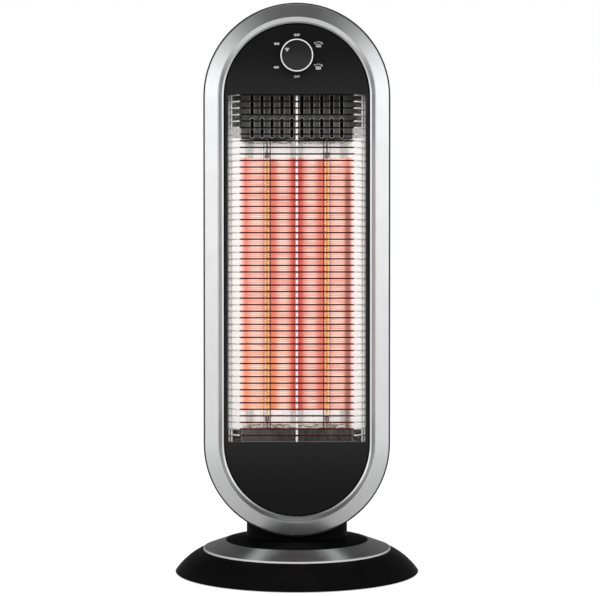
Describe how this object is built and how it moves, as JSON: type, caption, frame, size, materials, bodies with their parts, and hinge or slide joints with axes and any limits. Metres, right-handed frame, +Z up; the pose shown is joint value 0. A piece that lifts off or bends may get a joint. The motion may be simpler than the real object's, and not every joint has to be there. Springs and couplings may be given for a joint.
{
  "type": "carbon heater",
  "caption": "Tall rounded radiant heater with glowing quartz tubes behind a wire guard, a rotary control above the window and a round base on which it swings.",
  "frame": {"origin": "on the floor at the middle of the round base, on the axis that the tower swings about", "axes": "+Z up along the tower, -Y towards the front with the window, +X to the viewer's right when looking at the front"},
  "size_m": [0.252, 0.252, 0.5834],
  "materials": {
    "silver_paint": "silver satin lacquer",
    "silver_ring": "silver satin lacquer",
    "white_ring": "white",
    "black_gloss": "gloss black moulding",
    "black_satin": "satin black moulding",
    "black_knob": "satin black moulding",
    "chrome_wire": "bright chrome plate",
    "polished_aluminium": "mirror polished sheet",
    "dark_steel": "dull grey sheet",
    "plain_steel": "zinc plated",
    "white_ceramic": "unglazed steatite",
    "quartz_glass": "clear quartz",
    "glowing_carbon": "carbon, glowing orange",
    "black_moulding": "plain",
    "white_moulding": "plain nylon",
    "black_rubber": "matte"
  },
  "bodies": {
    "base": {"base_cover": "black_gloss", "base_trim_ring": "silver_ring", "bottom_plate": "plain_steel", "base_screws": "plain_steel", "rubber_feet": "black_rubber", "swivel_bush": "white_moulding", "swing_motor": "plain_steel", "motor_screws": "plain_steel", "tip_switch_housing": "black_moulding", "tip_microswitch": "black_moulding", "tip_spring": "plain_steel", "cord_gland": "black_rubber"},
    "tower": {"rear_shell": "black_satin", "front_bezel": "silver_paint", "front_panel": "black_gloss", "grille_cross_wires": "chrome_wire", "grille_uprights": "chrome_wire", "reflector": "polished_aluminium", "reflector_screws": "plain_steel", "upper_slotted_plate": "dark_steel", "lower_plate": "dark_steel", "lower_tube_bracket": "plain_steel", "upper_tube_bracket": "plain_steel", "lower_end_caps": "white_ceramic", "upper_end_caps": "white_ceramic", "quartz_tube_left": "quartz_glass", "quartz_tube_right": "quartz_glass", "carbon_filament_left": "glowing_carbon", "carbon_filament_right": "glowing_carbon", "filament_leads": "plain_steel", "thermal_cutout": "black_moulding", "switch_body": "black_moulding", "switch_nut": "plain_steel", "handle_cup": "black_satin", "shell_screws": "plain_steel", "terminal_block": "white_moulding", "turntable": "black_gloss", "neck_screws": "plain_steel", "swing_gear": "white_moulding", "gear_screws": "plain_steel"},
    "knob": {"control_knob": "black_knob", "knob_trim_ring": "white_ring", "knob_pointer": "white_ring", "switch_shaft": "plain_steel"},
    "pinion": {"drive_pinion": "white_moulding", "motor_shaft": "plain_steel"},
    "plunger": {"tip_plunger": "white_moulding"}
  },
  "joints": [
    {"name": "body_swivel", "type": "hinge", "parent": "base", "child": "tower", "pos_m": [0, 0, 0.03], "axis": [0, 0, 1], "range_deg": [-35, 35]},
    {"name": "knob_turn", "type": "hinge", "parent": "tower", "child": "knob", "pos_m": [0, -0.048, 0.5289], "axis": [0, 1, 0], "continuous": true},
    {"name": "pinion_spin", "type": "hinge", "parent": "base", "child": "pinion", "pos_m": [0, 0.054, 0.0218], "axis": [0, 0, 1], "range_deg": [-176, 176]},
    {"name": "tip_plunger_slide", "type": "slide", "parent": "base", "child": "plunger", "axis": [0, 0, -1], "range_m": [0, 0.003], "stiffness_N_per_m": 100, "springref_m": 0.006, "deforming": ["tip_spring"]}
  ],
  "couplings": [
    {"joint": "pinion_spin", "follows": "body_swivel", "ratio": -5}
  ]
}
